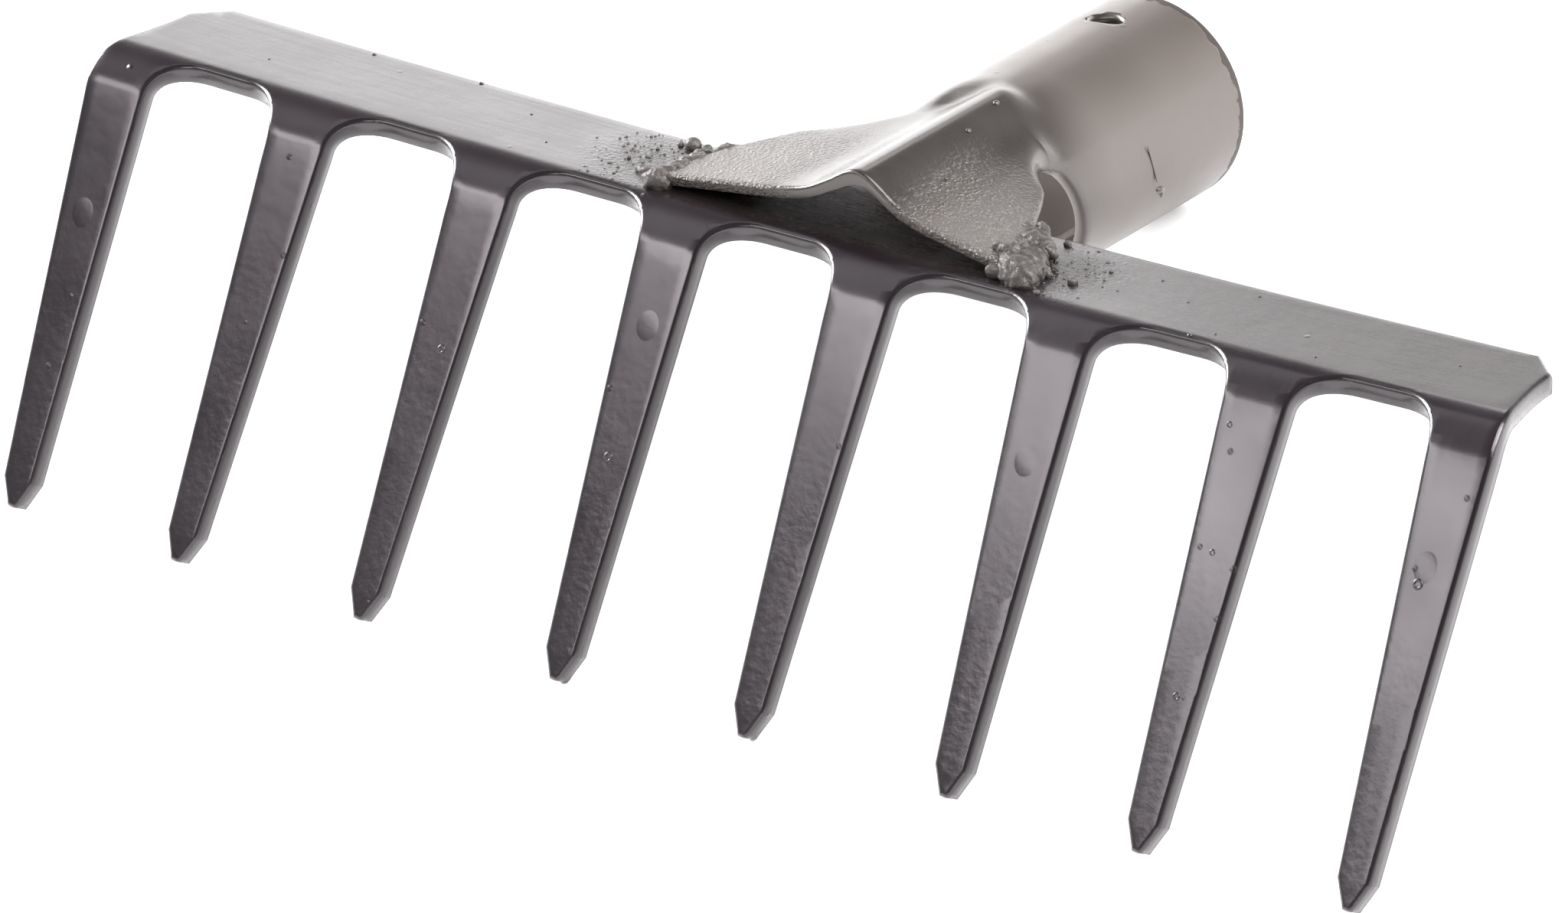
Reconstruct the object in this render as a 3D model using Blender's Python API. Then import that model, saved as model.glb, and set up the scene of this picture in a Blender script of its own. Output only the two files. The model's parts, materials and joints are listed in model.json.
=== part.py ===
"""Garden rake head: a stamped eight-tine comb with a rolled handle socket welded on its back.

The head is modelled in its own frame first: X runs along the comb, Y goes back towards the handle, Z is up,
and the origin is on the top face of the band where the bend starts. An empty then tilts everything into the
pose in which the head lies on a bench, on its tine tips and the lower rim of the socket's mouth.
"""
import math

import bmesh
import bpy
import numpy as np
from mathutils import Matrix

# Comb: one stamped sheet, bent down along its length.
TINES = 8
PITCH = 0.034
SHEET = 0.0032
BAND_DEPTH = 0.018
BEND_RADIUS = 0.0086
BEND_ANGLE = math.radians(63.0)
SLOT_TOP = 0.0020
SLOT_CORNER = 0.0078
ROOT_HALF_WIDTH = 0.0054
NECK_HALF_WIDTH = 0.0028
TIP_HALF_WIDTH = 0.0008
NECK_AT = 0.0697
TIP_AT = 0.0739
BAND_HALF_LENGTH = 0.1212
REAR_CHAMFER = 0.0050

# Socket: one sheet, rolled into a tube behind and pressed into a saddle with a rib in front.
WALL = 0.0020
TUBE_RADIUS = 0.0160
TUBE_X = 0.0080
TUBE_Z = -0.0060
MOUTH_Y = 0.0810
NOTCH_Y = 0.0335
NOTCH_ANGLE = math.radians(60.0)
SEAM_ANGLE = math.radians(176.5)
TUBE_FRONT_Y = 0.0440
SADDLE_FRONT_Y = 0.0008
WING_END_Y = 0.0100
WING_LEFT = 0.0320
WING_RIGHT = 0.0285
WING_RISE = 0.0042
RIB_HEIGHT = 0.0050
RIB_HALF_WIDTH = 0.0098
RIB_X = 0.0014
NECK_START_Y = 0.0270
NECK_END_Y = 0.0440
NAIL_HOLE_RADIUS = 0.0030
NAIL_HOLE_Y = 0.0697

# Weld beads at the two ends of the saddle.
GAP = 0.0003
BEAD_LENGTH = 0.0165
BEAD_FOOT = 0.0052
BEAD_LAP = 0.0020
BEAD_HEIGHT = 0.0040


def clear_scene():
    for thing in list(bpy.data.objects):
        bpy.data.objects.remove(thing, do_unlink=True)


def steel(name, color, roughness, metallic):
    material = bpy.data.materials.new(name)
    material.use_nodes = True
    shader = material.node_tree.nodes["Principled BSDF"]
    shader.inputs["Base Color"].default_value = (*color, 1.0)
    shader.inputs["Roughness"].default_value = roughness
    shader.inputs["Metallic"].default_value = metallic
    return material


def add_object(name, mesh, material, parent):
    mesh.materials.append(material)
    piece = bpy.data.objects.new(name, mesh)
    piece.parent = parent
    bpy.context.scene.collection.objects.link(piece)
    return piece


def smooth(amount):
    """Ease from 0 to 1 with level ends."""
    amount = min(max(amount, 0.0), 1.0)
    return amount * amount * (3.0 - 2.0 * amount)


def closed_sheet(name, outer, inner, faces):
    """Close two matching skins into one body by walling their open edges."""
    count = len(outer)
    open_edges = {}
    for face in faces:
        for start, end in zip(face, face[1:] + face[:1]):
            if (end, start) in open_edges:
                del open_edges[(end, start)]
            else:
                open_edges[(start, end)] = True
    shell = list(faces)
    shell += [tuple(index + count for index in reversed(face)) for face in faces]
    shell += [(end, start, start + count, end + count) for start, end in open_edges]
    mesh = bpy.data.meshes.new(name)
    mesh.from_pydata([*outer, *inner], [], shell)
    mesh.update()
    return mesh


# ---------------------------------------------------------------- comb

def bend_point(x, along, depth):
    """Point at a distance along the sheet from the start of the bend, below the outer face by depth."""
    turn = min(max(along / BEND_RADIUS, 0.0), BEND_ANGLE)
    straight = max(along - BEND_RADIUS * BEND_ANGLE, 0.0)
    radius = BEND_RADIUS - depth
    y = -radius * math.sin(turn) - straight * math.cos(BEND_ANGLE) - min(along, 0.0)
    z = -BEND_RADIUS + radius * math.cos(turn) - straight * math.sin(BEND_ANGLE)
    return (x, y, z)


def tine_half_width(along):
    """Half the width of a tine: an even taper, then a short point."""
    if along > NECK_AT:
        share = (along - NECK_AT) / (TIP_AT - NECK_AT)
        return NECK_HALF_WIDTH + share * (TIP_HALF_WIDTH - NECK_HALF_WIDTH)
    share = (along - SLOT_TOP - SLOT_CORNER) / (NECK_AT - SLOT_TOP - SLOT_CORNER)
    return ROOT_HALF_WIDTH + max(share, 0.0) * (NECK_HALF_WIDTH - ROOT_HALF_WIDTH)


def slot_corner_rows(steps=6):
    """Distances along the sheet and widths where a tine flares into the band, from the slot's top down."""
    rows = []
    for step in range(steps + 1):
        turn = 0.5 * math.pi * step / steps
        along = SLOT_TOP + SLOT_CORNER * (1.0 - math.cos(turn))
        rows.append((along, ROOT_HALF_WIDTH + SLOT_CORNER * (1.0 - math.sin(turn))))
    return rows


def end_half_length(along):
    """Distance from the comb's middle to the outer edge of its end."""
    root = 0.5 * (TINES - 1) * PITCH + ROOT_HALF_WIDTH
    if along < REAR_CHAMFER - BAND_DEPTH:
        return BAND_HALF_LENGTH - (REAR_CHAMFER - BAND_DEPTH - along)
    share = (along - REAR_CHAMFER + BAND_DEPTH) / (SLOT_TOP + SLOT_CORNER - REAR_CHAMFER + BAND_DEPTH)
    return BAND_HALF_LENGTH + smooth(share) * (root - BAND_HALF_LENGTH)


def make_comb(parent):
    points = []
    faces = []

    def add(x, along):
        points.append((x, along))
        return len(points) - 1

    def outer_edge(tine, side, along, half_width):
        if side * (tine - 0.5 * (TINES - 1)) == 0.5 * (TINES - 1) and along < SLOT_TOP + SLOT_CORNER:
            return side * end_half_length(along)
        return (tine - 0.5 * (TINES - 1)) * PITCH + side * half_width

    corner_rows = slot_corner_rows()
    shank_rows = [(along, tine_half_width(along)) for along in (0.024, 0.040, 0.055, NECK_AT, TIP_AT)]
    band_rows = [-BAND_DEPTH, REAR_CHAMFER - BAND_DEPTH, 0.0, SLOT_TOP]
    columns = []
    for tine in range(TINES):
        for side in (-1, 1):
            columns.append((tine, side))
    band = [[add(outer_edge(tine, side, along, corner_rows[0][1]), along) for tine, side in columns]
            for along in band_rows]
    for upper, lower in zip(band, band[1:]):
        for left in range(len(columns) - 1):
            faces.append((upper[left], lower[left], lower[left + 1], upper[left + 1]))
    for tine in range(TINES):
        above = (band[-1][2 * tine], band[-1][2 * tine + 1])
        for along, half_width in corner_rows[1:] + shank_rows:
            below = tuple(add(outer_edge(tine, side, along, half_width), along) for side in (-1, 1))
            faces.append((above[0], below[0], below[1], above[1]))
            above = below
    outer = [bend_point(x, along, 0.0) for x, along in points]
    inner = [bend_point(x, along, SHEET) for x, along in points]
    paint = steel("comb_paint", (0.085, 0.075, 0.085), 0.32, 0.25)
    return add_object("tine_comb", closed_sheet("tine_comb", outer, inner, faces), paint, parent)


# ---------------------------------------------------------------- socket

def saddle_height(x):
    """Height of the saddle's upper face over the band, as a low roof with a rounded rib along it."""
    reach = WING_RIGHT if x > 0.0 else WING_LEFT
    roof = WALL + GAP + WING_RISE * (1.0 - min(abs(x) / reach, 1.0))
    off_rib = min(abs(x - RIB_X) / RIB_HALF_WIDTH, 1.0)
    return roof + RIB_HEIGHT * 0.5 * (1.0 + math.cos(math.pi * off_rib))


def wing_reach(y, side):
    """How far a wing reaches from the socket's axis at y, narrowing to the notch beside the tube."""
    full = WING_RIGHT if side > 0 else WING_LEFT
    narrow = TUBE_RADIUS * math.sin(NOTCH_ANGLE)
    share = (y - WING_END_Y) / (NOTCH_Y - WING_END_Y)
    return full + min(max(share, 0.0), 1.0) * (narrow - full)


def socket_point(across, y):
    """Point on the socket's outer face; across is -1 to 1 between the notches and grows round the tube."""
    turn = across * NOTCH_ANGLE
    tube = np.array([TUBE_RADIUS * math.sin(turn), y, TUBE_Z + TUBE_RADIUS * math.cos(turn)])
    if y >= NECK_END_Y or (abs(across) > 1.0 and y > NOTCH_Y):
        return tube + (TUBE_X, 0.0, 0.0)
    x = across * wing_reach(y, 1 if across > 0.0 else -1)
    saddle = np.array([x, y, saddle_height(x)])
    share = smooth((y - NECK_START_Y) / (NECK_END_Y - NECK_START_Y))
    edge = smooth((y - WING_END_Y) / (NOTCH_Y - WING_END_Y)) * across ** 8
    share = max(share, edge)
    return saddle + share * (tube - saddle) + (TUBE_X, 0.0, 0.0)


def socket_normal(across, y):
    step = 1e-4
    sideways = socket_point(across + step, y) - socket_point(across - step, y)
    back = socket_point(across, y + step) - socket_point(across, y - step)
    normal = np.cross(sideways, back)
    return normal / np.linalg.norm(normal)


def tube_front(across):
    """Where the tube starts: at the notch beside the saddle, and further back on its underside."""
    lap = SEAM_ANGLE / NOTCH_ANGLE
    share = (abs(across) - 1.0) / (lap - 1.0)
    return NOTCH_Y + math.sqrt(max(share, 0.0)) * (TUBE_FRONT_Y - NOTCH_Y)


def make_socket(parent):
    lap = SEAM_ANGLE / NOTCH_ANGLE
    crown = [float(value) for value in np.linspace(-1.0, 1.0, 25)]
    flank = [float(value) for value in np.linspace(1.0, lap, 13)][1:]
    around = [-value for value in reversed(flank)] + crown + flank
    points = []
    faces = []

    def add(across, y):
        points.append((across, y))
        return len(points) - 1

    def join(front, back):
        for left in range(len(front) - 1):
            faces.append((front[left], front[left + 1], back[left + 1], back[left]))

    saddle_rows = [SADDLE_FRONT_Y, 0.005, WING_END_Y, 0.016, 0.022, 0.027, 0.0305]
    rows = [[add(across, y) for across in crown] for y in saddle_rows]
    tube_rows = [[add(across, tube_front(across) + share * (MOUTH_Y - tube_front(across))) for across in around]
                 for share in (0.0, 0.08, 0.17, 0.26, 0.6, 1.0)]
    rows.append(tube_rows[0][len(flank):len(flank) + len(crown)])
    for front, back in zip(rows, rows[1:]):
        join(front, back)
    for front, back in zip(tube_rows, tube_rows[1:]):
        join(front, back)
    outer = [tuple(socket_point(across, y)) for across, y in points]
    inner = [tuple(socket_point(across, y) - WALL * socket_normal(across, y)) for across, y in points]
    paint = steel("socket_paint", (0.13, 0.125, 0.13), 0.38, 0.25)
    mesh = closed_sheet("handle_socket", outer, inner, faces)
    socket = add_object("handle_socket", mesh, paint, parent)
    drill_nail_hole(socket, parent)
    return socket


def drill_nail_hole(socket, parent):
    form = bmesh.new()
    place = Matrix.Translation((TUBE_X, NAIL_HOLE_Y, TUBE_Z + TUBE_RADIUS))
    bmesh.ops.create_cone(form, cap_ends=True, segments=16, radius1=NAIL_HOLE_RADIUS,
                          radius2=NAIL_HOLE_RADIUS, depth=4.0 * WALL, matrix=place)
    mesh = bpy.data.meshes.new("nail_hole_cutter")
    form.to_mesh(mesh)
    form.free()
    cutter = bpy.data.objects.new("nail_hole_cutter", mesh)
    cutter.parent = parent
    cutter.hide_render = True
    cutter.display_type = "WIRE"
    bpy.context.scene.collection.objects.link(cutter)
    drill = socket.modifiers.new("nail_hole", "BOOLEAN")
    drill.operation = "DIFFERENCE"
    drill.solver = "EXACT"
    drill.object = cutter


# ---------------------------------------------------------------- welds

def bead_section(swell, wing_edge, wing_lap):
    """Outline of a bead, from its foot round to where it laps over the wing; x grows away from the wing."""
    side_gap = 1.5 * GAP
    crest = swell * BEAD_HEIGHT
    outline = [(side_gap, GAP)]
    for step in range(8):
        turn = 0.5 * math.pi * step / 7
        outline.append((side_gap + swell * BEAD_FOOT * math.cos(turn), GAP + crest * math.sin(turn)))
    outline.append((-BEAD_LAP, wing_lap + side_gap + 0.3 * (crest - wing_edge)))
    outline.append((-BEAD_LAP, wing_lap + side_gap))
    outline.append((side_gap, wing_edge + side_gap))
    return outline


def bead_points(side, share):
    """Outline of a bead at a share of its length, placed against the outer end of its wing."""
    y = SADDLE_FRONT_Y + share * BEAD_LENGTH
    swell = 0.86 + 0.18 * math.sin(math.pi * share) + 0.08 * math.sin(19.0 * share + side)
    reach = wing_reach(y, side)
    wing_edge = socket_point(side, y)[2]
    wing_lap = socket_point(side * (1.0 - BEAD_LAP / reach), y)[2]
    return [(TUBE_X + side * (reach + away), y, up) for away, up in bead_section(swell, wing_edge, wing_lap)]


def make_bead(name, side, parent):
    """One lumpy bead that runs back along the outer end of a wing."""
    stations = 12
    rings = [bead_points(side, station / stations) for station in range(stations + 1)]
    size = len(rings[0])
    faces = []
    for station in range(stations):
        for corner in range(size):
            after = (corner + 1) % size
            low = station * size
            quad = (low + corner, low + after, low + size + after, low + size + corner)
            faces.append(quad if side < 0 else quad[::-1])
    first = tuple(range(size))
    last = tuple(range(stations * size, (stations + 1) * size))
    faces.append(first[::-1] if side < 0 else first)
    faces.append(last if side < 0 else last[::-1])
    mesh = bpy.data.meshes.new(name)
    mesh.from_pydata([point for ring in rings for point in ring], [], faces)
    mesh.update()
    weld = steel(name + "_steel", (0.12, 0.115, 0.12), 0.5, 0.3)
    return add_object(name, mesh, weld, parent)


# ---------------------------------------------------------------- assembly

def bench_tilt():
    """Angle that brings the tine tips and the lower rim of the socket's mouth onto one level."""
    tip = bend_point(0.0, TIP_AT, SHEET)
    rim_z = TUBE_Z - TUBE_RADIUS
    return -math.atan2(rim_z - tip[2], MOUTH_Y - tip[1])


def rest_on_bench(frame, pieces):
    """Tilt the head, then centre it over the origin with its lowest point at height zero."""
    tilt = Matrix.Rotation(bench_tilt(), 4, "X")
    corners = np.array([tilt @ vertex.co for piece in pieces for vertex in piece.data.vertices])
    low = corners.min(axis=0)
    high = corners.max(axis=0)
    frame.matrix_world = Matrix.Translation((-0.5 * (low[0] + high[0]), -0.5 * (low[1] + high[1]), -low[2])) @ tilt


def main():
    clear_scene()
    frame = bpy.data.objects.new("head_frame", None)
    bpy.context.scene.collection.objects.link(frame)
    pieces = [make_comb(frame), make_socket(frame)]
    pieces.append(make_bead("weld_bead_left", -1, frame))
    pieces.append(make_bead("weld_bead_right", 1, frame))
    rest_on_bench(frame, pieces)


main()
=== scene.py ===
import json
import math

import bmesh
import bpy
import numpy as np
from mathutils import Matrix, Vector, noise


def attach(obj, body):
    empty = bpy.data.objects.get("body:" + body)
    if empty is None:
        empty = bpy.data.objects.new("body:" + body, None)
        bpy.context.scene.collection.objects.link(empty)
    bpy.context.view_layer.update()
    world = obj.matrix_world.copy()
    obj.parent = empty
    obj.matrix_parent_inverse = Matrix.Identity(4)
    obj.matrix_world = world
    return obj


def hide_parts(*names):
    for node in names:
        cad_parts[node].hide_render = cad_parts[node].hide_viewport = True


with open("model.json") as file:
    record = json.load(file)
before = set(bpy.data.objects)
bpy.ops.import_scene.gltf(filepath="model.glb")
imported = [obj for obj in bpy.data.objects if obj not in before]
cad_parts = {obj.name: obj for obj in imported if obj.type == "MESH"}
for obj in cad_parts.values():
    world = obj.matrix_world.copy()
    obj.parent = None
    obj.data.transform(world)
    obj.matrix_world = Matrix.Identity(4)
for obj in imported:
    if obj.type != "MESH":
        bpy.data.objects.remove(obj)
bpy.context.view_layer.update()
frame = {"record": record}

# Metres throughout. The head's own frame has X along the comb, Y back to the handle, Z up and its origin
# where the bend starts. "Along" is the distance down the sheet from there, and is negative on the band.
TINES = 8
PITCH = 0.034
MIDDLE_TINE = 0.5 * (TINES - 1)
HALF_SPAN = MIDDLE_TINE * PITCH
SHEET = 0.0032
BAND_DEPTH = 0.018
BEND_RADIUS = 0.0086
BEND_ANGLE = math.radians(63.0)
SLOT_TOP = 0.0020
SLOT_CORNER = 0.0078
ROOT_AT = SLOT_TOP + SLOT_CORNER
ROOT_HALF_WIDTH = 0.0054
NECK_HALF_WIDTH = 0.0028
TIP_HALF_WIDTH = 0.0008
NECK_AT = 0.0697
TIP_AT = 0.0739
TIP_CROWN = 0.0001
BAND_HALF_LENGTH = 0.1212
REAR_CHAMFER = 0.0050

# Edges: the upper one is rolled over by shearing, and the lower one has a bevel of this share of the roll.
COMB_ROLL = 0.0008
SOCKET_ROLL = 0.0006
ROLL_TURNS = np.radians((0.0, 20.0, 42.0, 66.0, 90.0))
BEVEL_SHARE = 0.3

# The band is bowed a little, and each tine leans sideways and lifts a little (degrees, left to right).
BOW_RISE = 0.0022
BOW_LEAD = 0.0011
TINE_LEAN = (0.5, -1.9, -2.2, -0.8, -0.9, 0.6, -0.1, 0.7)
TINE_LIFT = (0.0, 0.4, -0.1, -0.5, -0.3, 0.1, 0.4, -0.1)
TINE_EASE = 0.004

# Mesh steps of the comb.
OUTLINE_STEP = 0.0009
CUT_STEP = 0.002
CUT_REACH = 0.122
CUT_SHIFT = 0.0001
BEND_CUTS = 15
PROBE_STEP = 2e-4

# Marks on the comb: place along X, distance down the sheet, and radius.
CRATERS = ((-0.0174, 0.0407, 0.00055), (0.1178, 0.0281, 0.00060), (0.0851, 0.0515, 0.00045),
           (0.0848, 0.0309, 0.00035), (0.0822, 0.0131, 0.00035), (-0.0497, 0.0325, 0.00050))
CRATER_RIM = 0.38
BLISTERS = ((0.0709, -0.0150, 0.00030), (0.0730, -0.0007, 0.00028), (-0.0887, -0.0165, 0.00040),
            (-0.0691, -0.0170, 0.00045), (0.0895, -0.0013, 0.00028), (0.0560, -0.0125, 0.00030),
            (0.0634, -0.0080, 0.00026), (-0.0560, -0.0120, 0.00028), (0.0700, 0.0013, 0.00040),
            (-0.1002, -0.0060, 0.00025), (0.1085, -0.0090, 0.00026), (-0.0480, -0.0050, 0.00026))
BLISTER_SHAPE = (1.1, 0.8, 0.5)
RUNS = ((-0.0166, 0.0209), (0.1183, 0.0256), (0.0510, 0.0252), (-0.1190, 0.0286))
RUN_SIZES = (0.0023, 0.0028, 0.00012)
RUN_SINK = 0.00007
MARK_ALONG = 0.030

# Sandy overspray on the band beside each weld: middle in X and Y, and how much longer than deep it is.
SAND_PATCHES = ((-0.0310, 0.0090, 1.2), (0.0420, 0.0075, 1.1))
SAND_REACH = 0.0120

# The socket: a tube with its axis at TUBE_X and TUBE_Z, and a saddle whose X is measured from that axis.
WALL = 0.0020
GAP = 0.0003
TUBE_RADIUS = 0.0160
TUBE_X = 0.0080
TUBE_Z = -0.0060
MOUTH_Y = 0.0810
NOTCH_Y = 0.0335
NOTCH_ANGLE = math.radians(60.0)
SEAM_ANGLE = math.radians(176.5)
LAP = SEAM_ANGLE / NOTCH_ANGLE
NOTCH_ARC = TUBE_RADIUS * NOTCH_ANGLE
TUBE_FRONT_Y = 0.0440
SADDLE_FRONT_Y = 0.0008
DROOP_Y = 0.0220
WING_LEFT = 0.0320
WING_RIGHT = 0.0285
WING_RISE = 0.0042
LEFT_EDGE_Y = (0.0, 0.0090, 0.0142, 0.0261, NOTCH_Y)
LEFT_EDGE_X = (WING_LEFT, 0.0310, 0.0288, 0.0208, TUBE_RADIUS * math.sin(NOTCH_ANGLE))
RIGHT_EDGE_Y = (0.0, 0.0040, 0.0116, 0.0221, NOTCH_Y)
RIGHT_EDGE_X = (WING_RIGHT, 0.0283, 0.0259, 0.0209, TUBE_RADIUS * math.sin(NOTCH_ANGLE))
RIB_PLACES = (-0.0112, -0.0062, -0.0006, 0.0022, 0.0036, 0.0058, 0.0101, 0.0140, 0.0200, 0.0285)
RIB_RISES = (0.0001, 0.0006, 0.0030, 0.0050, 0.0052, 0.0044, 0.0017, 0.0010, 0.0007, 0.0003)
RIB_EASE = 0.0011
NECK_START_Y = 0.0365
NECK_LENGTH = 0.0055
NECK_SLANT = 0.0062
NECK_END_Y = 0.0440
SHEAR_LEAN = 0.0006
SHEAR_DEPTH = 0.004
CREST_X = 0.0029
CREST_WIDTH = 0.0035
CREST_END_Y = 0.010
CREST_FADE = 0.008
CREST_THICKENING = 0.0008

# The oval nail hole, its middle in the head's own frame.
NAIL_HOLE_HALF_WIDTH = 0.0033
NAIL_HOLE_HALF_LENGTH = 0.0019
NAIL_HOLE_X = 0.0066
NAIL_HOLE_Y = 0.0697

# Mesh steps of the socket, and the rough lengths that turn them into shares of a wing and of the tube.
CROWN_STEP = 0.0007
CROWN_REACH = 0.020
FLANK_STEP = 0.0011
SADDLE_STEP = 0.0009
TUBE_STEP = 0.0012
TUBE_REACH = 0.045
ROLL_SHARES = np.array([0.0, 0.04, 0.14, 0.30, 0.55, 1.0])

# Marks on the tube: degrees round from its top, Y, slant in degrees, and half sizes along, across and out.
TUBE_MARKS = ((86.0, 0.0566, -74.0, 0.0034, 0.00013, 0.00014),
              (104.0, 0.0592, -20.0, 0.0011, 0.00050, 0.00040),
              (108.0, 0.0600, -60.0, 0.0009, 0.00030, 0.00030))

# Grains of spatter on the rib: X and Y in the head's own frame, and radius.
RIB_GRAINS = ((0.0142, 0.0240, 0.00045), (0.0128, 0.0330, 0.00050), (0.0180, 0.0130, 0.00030))

# Sandy paint on the wings: it fades out at this Y, and towards the rib at these shares of a wing.
WING_SAND_END_Y = 0.030
WING_SAND_FADE = 0.022
WING_SAND_START = 0.22
WING_SAND_EASE = 0.35

# Beads: the Y where each run of lumps starts, its length back along the saddle's edge, and how many lumps.
RIGHT_CORE = (0.0018, 0.0095, 8)
RIGHT_CORE_SIZES = (0.0039, 0.0026, 0.0025)
RIGHT_CORE_TAPER = 0.35
RIGHT_CORE_HEADING = math.radians(-24.0)
RIGHT_FOLDS = (0.0036, 0.0090, 16)
RIGHT_FOLD_HEADING = -14.0
RIGHT_FOLD_TURN = 34.0
LEFT_CORE = (0.0010, 0.0150, 12)
LEFT_HEADING = 200.0
LEFT_FOLD_CHANCE = 0.7

# Welds: how lumps melt together, and the spatter's grains and balls (X, Y and radius).
MELT_VOXEL = 0.00028
FOLD_SIZE = 0.0016
FOLD_HEIGHT = 0.00034
FOLD_STRETCH = (0.6, 1.3, 1.0)
CRUST_SIZE = 0.0008
CRUST_HEIGHT = 0.00018
GRAINS = 110
GRAIN_SMALLEST = 0.00009
GRAIN_RANGE = 0.00018
RIGHT_BALLS = ((0.0456, 0.0049, 0.00078), (0.0434, -0.0008, 0.00050), (0.0372, 0.0158, 0.00062),
               (0.0362, 0.0120, 0.00045), (0.0392, 0.0100, 0.00040), (0.0480, 0.0110, 0.00032))
LEFT_BALLS = ((-0.0291, 0.0155, 0.0013), (-0.0268, 0.0160, 0.0007), (-0.0310, 0.0150, 0.00050),
              (-0.0345, 0.0070, 0.00035), (-0.0330, 0.0120, 0.00030))

# Colours of the paint, in linear light, with a painted shade on the comb's rolled edges and painted light
# inside the tube; a pair is the darkest and the lightest of a mottle.
VIOLET = ((0.0040, 0.0022, 0.0038), (0.0075, 0.0045, 0.0072))
BROWN = ((0.0070, 0.0055, 0.0050), (0.0120, 0.0095, 0.0088))
# Painted shade: the comb's rolled edges get this darker colour, standing in for the dark line that they
# reflect.
ROLLED_EDGE_PAINTED_SHADE = (0.0030, 0.0020, 0.0024)
SADDLE_PAINT = ((0.013, 0.0105, 0.0098), (0.023, 0.0195, 0.018))
TUBE_PAINT = (0.052, 0.043, 0.038)
SANDY_PAINT = (0.046, 0.040, 0.037)
# Painted light: the socket's inner skin, from partway back along the saddle to the mouth, is painted this
# pale colour to stand in for light falling there.
BORE_PAINTED_LIGHT = (0.260, 0.228, 0.210)
CHIPPED_RIM = (0.010, 0.0055, 0.004)
WELD_PAINT = ((0.014, 0.0120, 0.011), (0.036, 0.032, 0.030))
WORN_WELD = (0.075, 0.068, 0.063)

# Where one look eases into the next: distance along the comb, and Y on the socket.
PEEL_ALONG = (0.020, 0.062)
BAND_ALONG = (-0.001, 0.003)
BORE_Y = (0.022, 0.036)
TUBE_Y = (0.038, 0.048)
CHIPPED_Y = (0.0807, 0.0810)

# Studio: panels as name, centre, target, width and height, and radiance.
HEAD_MIDDLE = (0.0, 0.0, 0.04)
PANELS = (
    ("panel_behind_left", (-0.72, 0.67, 0.15), HEAD_MIDDLE, (0.60, 0.34), 2.6),
    ("panel_behind", (-0.36, 0.86, 0.38), HEAD_MIDDLE, (0.18, 0.14), 4.5),
    ("panel_above", (-0.43, 0.03, 0.70), HEAD_MIDDLE, (0.90, 0.12), 1.2),
    ("strip_front_left", (-0.20, -0.33, 0.350), HEAD_MIDDLE, (0.44, 0.066), 9.0),
    ("panel_front_left", (-0.04, -0.42, 0.22), HEAD_MIDDLE, (0.22, 0.16), 0.4),
    ("panel_right", (0.95, 0.35, 1.20), (0.0, 0.0, 0.0), (1.60, 1.60), 8.0),
    ("panel_left", (-1.60, 0.20, 0.70), (-0.25, 0.30, 0.0), (0.80, 0.80), 32.0),
    ("panel_back_right", (1.40, 0.75, 0.75), (0.10, 0.10, 0.0), (0.90, 0.90), 8.0),
)
SKY_COLOR = (1.0, 0.99, 0.98, 1.0)
SKY_HORIZON = 1.25
SKY_OVERHEAD = 0.28
FLOOR_REACH = 3.0
FLOOR_DROP = 0.0003
CAMERA_LENS = 235.8
CAMERA_SENSOR = 36.0
CAMERA_AZIMUTH = math.radians(44.96)
CAMERA_ELEVATION = math.radians(39.71)
CAMERA_ROLL = math.radians(-16.66)
CAMERA_AIM = Vector((0.0065, -0.0333, 0.0239))
CAMERA_DISTANCE = 1.4734


def head_matrix():
    """Matrix from the head's own frame to the row frame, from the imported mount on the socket's mouth."""
    mouth = next(mount for mount in frame["record"]["mounts"] if mount["name"] == "socket_mouth")
    turn = Matrix.Rotation(math.atan2(mouth["axis"][2], mouth["axis"][1]), 4, "X")
    rim = Vector((TUBE_X, MOUTH_Y, TUBE_Z + TUBE_RADIUS - 0.5 * WALL))
    return Matrix.Translation(Vector(mouth["pos_m"]) - turn @ rim) @ turn


HEAD = head_matrix()


def smooth(amount):
    """Ease from 0 to 1 with level ends."""
    amount = np.clip(amount, 0.0, 1.0)
    return amount * amount * (3.0 - 2.0 * amount)


def ripple(points, size, seed):
    """Smooth noise of about -1 to 1 at each point, with features of the given size."""
    shift = Vector((17.3 * seed, 5.1 * seed, 9.7 * seed))
    return np.array([noise.noise(Vector(point) / size + shift) for point in points])


def add_layer(mesh, name, values):
    """Give each point of a mesh a number that a material can read."""
    attribute = mesh.attributes.new(name, "FLOAT", "POINT")
    attribute.data.foreach_set("value", values.astype(np.float32))


def finish_piece(name, mesh, node, material):
    """Put a mesh into the row frame, let it ride on the root, and hide its CAD node."""
    mesh.transform(HEAD)
    mesh.shade_smooth()
    piece = bpy.data.objects.new(name, mesh)
    bpy.context.scene.collection.objects.link(piece)
    mesh.materials.clear()
    mesh.materials.append(material)
    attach(piece, "root")
    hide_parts(node)


# ---------------------------------------------------------------- comb

def half_width(along):
    """Half the width of a tine: an even taper, then a short blunt point."""
    taper = np.interp(along, [ROOT_AT, NECK_AT], [ROOT_HALF_WIDTH, NECK_HALF_WIDTH])
    point = np.interp(along, [NECK_AT, TIP_AT], [NECK_HALF_WIDTH, TIP_HALF_WIDTH])
    return np.where(along > NECK_AT, point, taper)


def tine_outline(centre):
    """Left side, tip and right side of one tine, as points of the flat blank with the band at +Y."""
    shank = np.linspace(ROOT_AT, NECK_AT, int((NECK_AT - ROOT_AT) / OUTLINE_STEP))
    point = np.linspace(NECK_AT, TIP_AT, 7)[1:]
    along = np.concatenate([shank, point])
    width = half_width(along)
    left = np.column_stack([centre - width, -along])
    right = np.column_stack([centre + width, -along])[::-1]
    tip = np.array([[centre, -TIP_AT - TIP_CROWN]])
    return np.concatenate([left, tip, right])


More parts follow.
